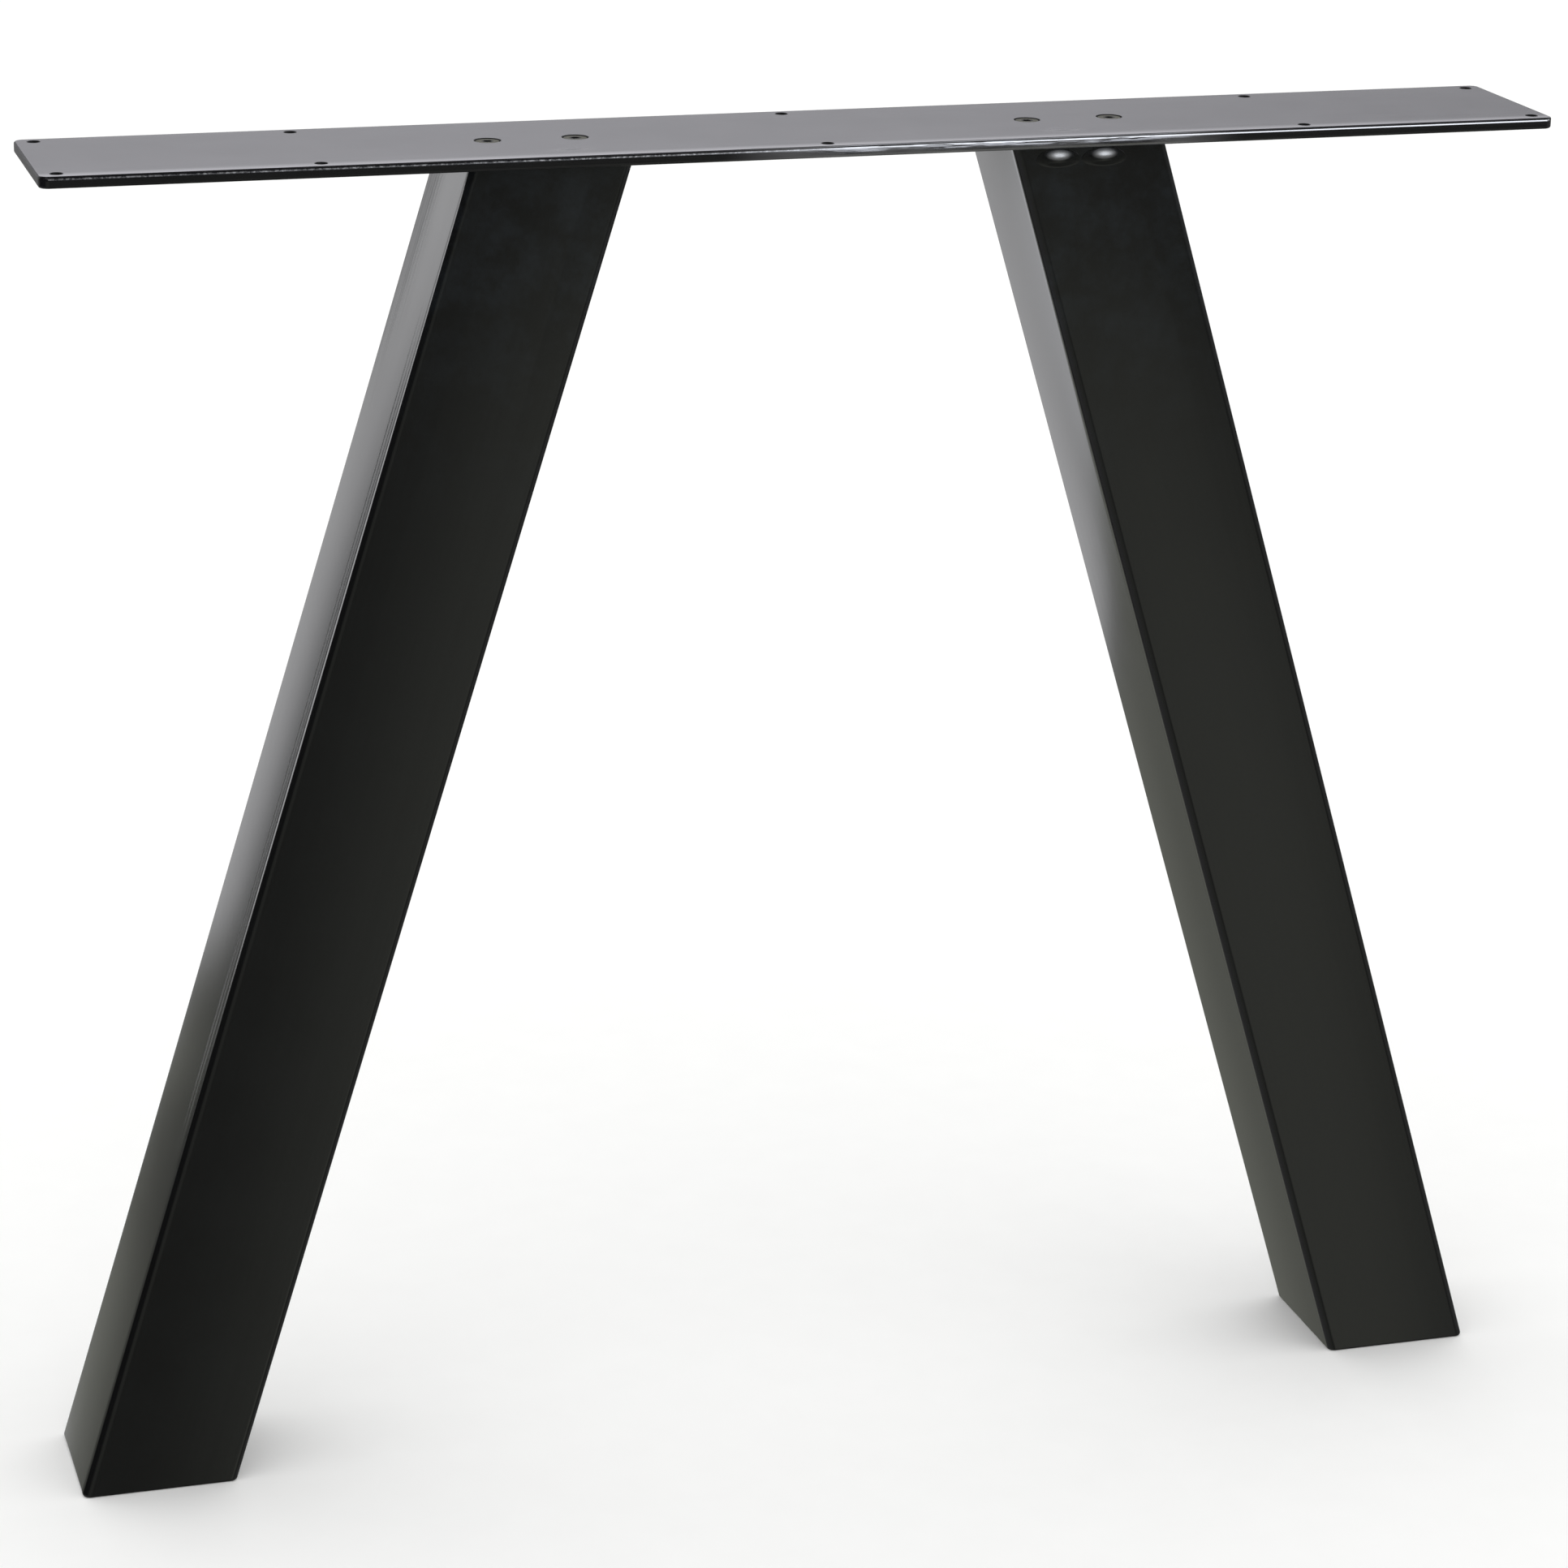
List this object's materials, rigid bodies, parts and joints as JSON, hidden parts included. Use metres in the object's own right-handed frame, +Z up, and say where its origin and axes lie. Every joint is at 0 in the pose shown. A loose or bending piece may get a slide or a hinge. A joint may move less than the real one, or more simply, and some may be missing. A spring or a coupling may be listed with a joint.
{
  "type": "table frame",
  "caption": "Steel table leg frame: square tube legs splayed outwards under a flat screw plate, bolted together and lacquered black, closed feet",
  "frame": {"origin": "on the floor, under the middle of the frame", "axes": "+X along the screw plate from the left leg to the right leg, +Y from the viewed side to the far side, +Z up"},
  "size_m": [0.802, 0.1, 0.716],
  "materials": {
    "plate_lacquer": "satin black lacquer on flat steel bar",
    "leg_lacquer": "satin black lacquer on welded square tube",
    "bolt_steel": "dull zinc-grey countersunk bolt head"
  },
  "bodies": {
    "root": {"top_plate": "plate_lacquer", "left_leg_tube": "leg_lacquer", "left_head_plate": "leg_lacquer", "left_foot_plate": "leg_lacquer", "left_inner_bolt": "bolt_steel", "left_outer_bolt": "bolt_steel", "right_leg_tube": "leg_lacquer", "right_head_plate": "leg_lacquer", "right_foot_plate": "leg_lacquer", "right_inner_bolt": "bolt_steel", "right_outer_bolt": "bolt_steel"}
  },
  "joints": []
}
